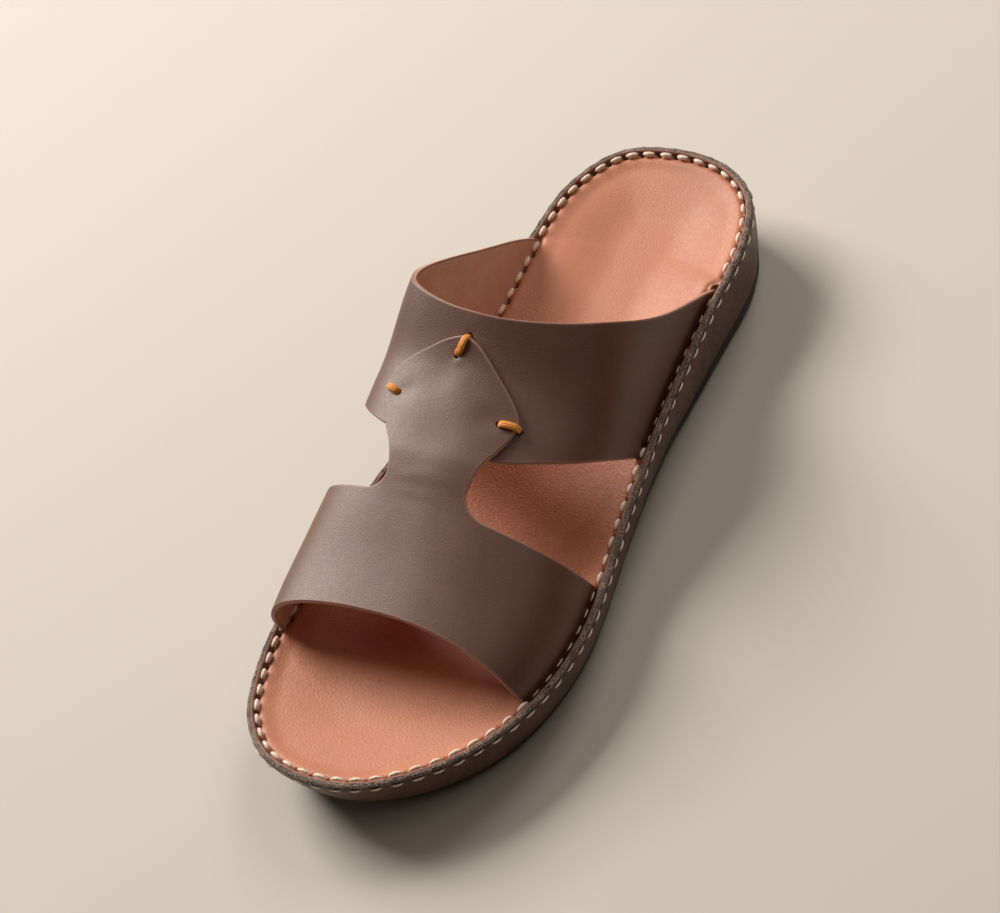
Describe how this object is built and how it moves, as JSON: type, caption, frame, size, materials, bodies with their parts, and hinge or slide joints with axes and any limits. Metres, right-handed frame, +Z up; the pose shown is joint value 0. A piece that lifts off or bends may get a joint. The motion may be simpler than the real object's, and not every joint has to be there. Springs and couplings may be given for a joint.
{
  "type": "leather slide sandal",
  "caption": "Left slide sandal with a stitched side band, a padded footbed and two crossing leather straps tacked together at a pointed tongue.",
  "frame": {"origin": "on the floor below the middle of the sole's outline", "axes": "+Z up, -Y towards the toe, +Y towards the heel, +X towards the outer side of a left foot"},
  "size_m": [0.1157, 0.2899, 0.0764],
  "materials": {
    "outsole": "matt dark brown moulded sole",
    "side_band": "smooth brown leather with a raw grey-brown cut edge",
    "footbed": "soft tan leather with a fine pebble grain",
    "upper": "smooth waxed brown leather with a low sheen",
    "tack_cord": "waxed orange cord"
  },
  "bodies": {
    "root": {"outsole": "outsole", "side_band": "side_band", "footbed": "footbed", "upper": "upper", "tack_tip": "tack_cord", "tack_medial": "tack_cord", "tack_lateral": "tack_cord"}
  },
  "joints": []
}
